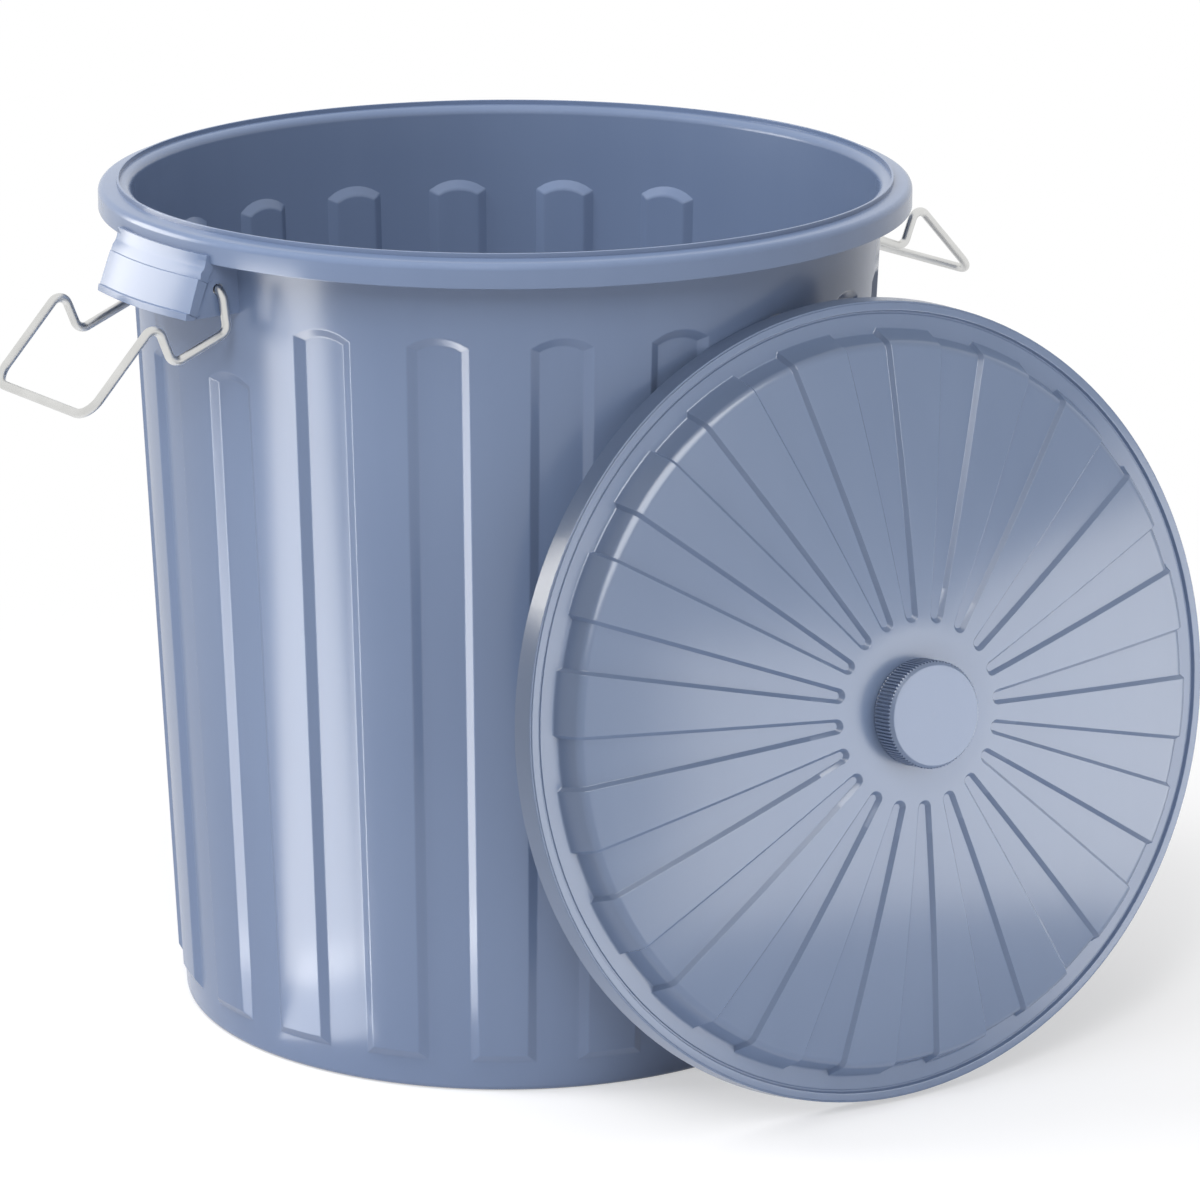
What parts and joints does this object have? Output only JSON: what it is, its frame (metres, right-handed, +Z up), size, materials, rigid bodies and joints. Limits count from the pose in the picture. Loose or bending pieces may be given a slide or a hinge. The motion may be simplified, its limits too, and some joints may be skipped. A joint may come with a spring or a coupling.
{
  "type": "waste bin",
  "caption": "Round tapering plastic waste bin with a fluted wall, wire bail handles on moulded lugs, and a lift-off ribbed lid with a screw-on knob leaning against it.",
  "frame": {"origin": "centre of the underside of the tub, on the floor", "axes": "+Z up, handles on -X and +X, the lid leans on the -Y side"},
  "size_m": [0.63, 0.5641, 0.493],
  "materials": {
    "tub_plastic": "smooth moulded polypropylene, blue-grey, satin gloss",
    "lid_plastic": "smooth moulded polypropylene, blue-grey, satin gloss",
    "knob_plastic": "moulded plastic, blue-grey, finely ribbed side",
    "wire": "drawn steel wire, zinc coated, bright"
  },
  "bodies": {
    "tub": {"tub": "tub_plastic"},
    "lid": {"lid": "lid_plastic"},
    "knob": {"knob": "knob_plastic"},
    "handle_left": {"handle_left": "wire"},
    "handle_right": {"handle_right": "wire"}
  },
  "joints": [
    {"name": "handle_left_swing", "type": "hinge", "parent": "tub", "child": "handle_left", "pos_m": [-0.22521, 0, 0.461], "axis": [0, 1, 0], "range_deg": [-27, 147]},
    {"name": "handle_right_swing", "type": "hinge", "parent": "tub", "child": "handle_right", "pos_m": [0.22521, 0, 0.461], "axis": [0, -1, 0], "range_deg": [-27, 147]},
    {"name": "lid_lift", "type": "slide", "parent": "tub", "child": "lid", "axis": [-0.0879, -0.9847, 0.1504], "range_m": [0, 0.3]},
    {"name": "knob_turn", "type": "hinge", "parent": "lid", "child": "knob", "pos_m": [0.06589, -0.25506, 0.22423], "axis": [-0.0879, -0.9847, 0.1504], "continuous": true}
  ]
}
